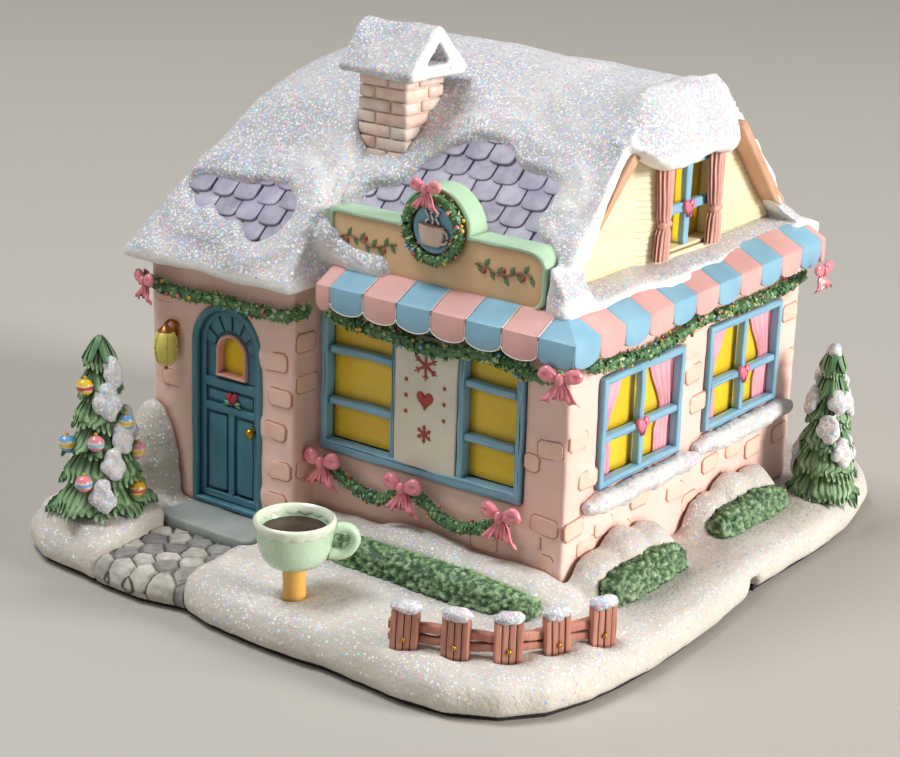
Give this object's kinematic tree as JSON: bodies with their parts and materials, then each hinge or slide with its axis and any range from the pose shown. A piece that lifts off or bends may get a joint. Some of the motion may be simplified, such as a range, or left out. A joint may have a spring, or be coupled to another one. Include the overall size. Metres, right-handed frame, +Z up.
{
  "type": "christmas village shop",
  "caption": "Glittery snow-roofed village shop ornament with a brick chimney, striped awning, arched door, fenced garden and fir trees on a snowy base, lit by a bulb in a pull-out holder.",
  "frame": {"origin": "centre of the ground base in plan, at its flat underside", "axes": "+Z up, +X to the right along the shop front, the door and shop window face -Y"},
  "size_m": [0.1578, 0.1838, 0.1278],
  "materials": {
    "snow": "cream-white snow coat with fine iridescent glitter",
    "pad": "matt dark underside pad",
    "stone": "painted light and dark grey cobbles",
    "step": "smooth grey step with a dark worn edge",
    "wall": "pale peachy pink paint with salmon bricks",
    "shingle": "lavender grey shingles, darker in the joints",
    "siding": "pale yellow lapped boards, tan at the edges",
    "blue": "sky blue gloss paint",
    "door": "teal blue gloss paint",
    "pane": "golden yellow panes",
    "curtain": "mauve brown tied curtains, painted",
    "brick": "tan and peach bricks with grey brown mortar",
    "pink": "pink and sky blue stripes, or plain pink curtains",
    "tan": "tan face inside a mint green rim",
    "medallion": "blue disc with a pale mug in relief",
    "panel": "plain off-white panel",
    "brass": "bright brass",
    "lantern": "yellow lantern with copper cap and tip",
    "garland": "dark green needles with tiny bright berries",
    "bow": "glossy pink ribbon",
    "hedge": "curly dark green leaves",
    "mint": "glossy mint green with a white scalloped band",
    "coffee": "glossy dark brown",
    "post": "yellow orange",
    "fence": "painted terracotta boards, snow-capped",
    "plastic": "off-white lamp holder plastic",
    "bulb": "clear night-light bulb glass"
  },
  "bodies": {
    "house": {"ground_casting": "snow", "underside_pad": "pad", "stone_path": "stone", "door_step": "step", "house_walls": "wall", "roof_casting": "snow", "shingles_left": "shingle", "shingles_right": "shingle", "gable_siding": "siding", "gable_window_bars": "blue", "gable_pane": "pane", "gable_curtain_front": "curtain", "gable_curtain_back": "curtain", "chimney_stack": "brick", "chimney_cap": "snow", "awning": "pink", "sign_board": "tan", "sign_wreath": "garland", "sign_medallion": "medallion", "shop_window_frame": "blue", "shop_pane_left": "pane", "shop_pane_right": "pane", "menu_panel": "panel", "side_window_frame_front": "blue", "side_window_frame_back": "blue", "side_pane_front": "pane", "side_pane_back": "pane", "side_curtains_front": "pink", "side_curtains_back": "pink", "side_sill_front": "snow", "side_sill_back": "snow", "door_leaf": "door", "door_pane": "pane", "door_knob": "brass", "wall_lantern": "lantern", "garland_door": "garland", "garland_front": "garland", "garland_side": "garland", "garland_swag": "garland", "sign_bow": "bow", "bow_corner": "bow", "bow_swag_left": "bow", "bow_swag_middle": "bow", "bow_swag_right": "bow", "bow_eave_left": "bow", "bow_awning_back": "bow", "hedge_front": "hedge", "hedge_side_front": "hedge", "hedge_side_back": "hedge", "tree_left": "garland", "tree_right": "garland", "cup_bowl": "mint", "cup_coffee": "coffee", "cup_post": "post", "fence": "fence"},
    "lamp_holder": {"lamp_holder": "plastic"},
    "bulb": {"bulb_cap": "brass", "bulb_glass": "bulb"}
  },
  "joints": [
    {"name": "holder_pull", "type": "slide", "parent": "house", "child": "lamp_holder", "axis": [0, 0, -1], "range_m": [0, 0.075]},
    {"name": "bulb_screw", "type": "hinge", "parent": "lamp_holder", "child": "bulb", "pos_m": [-0.00457, 0.00857, 0.0273], "axis": [0, 0, 1], "range_deg": [0, 720]}
  ]
}
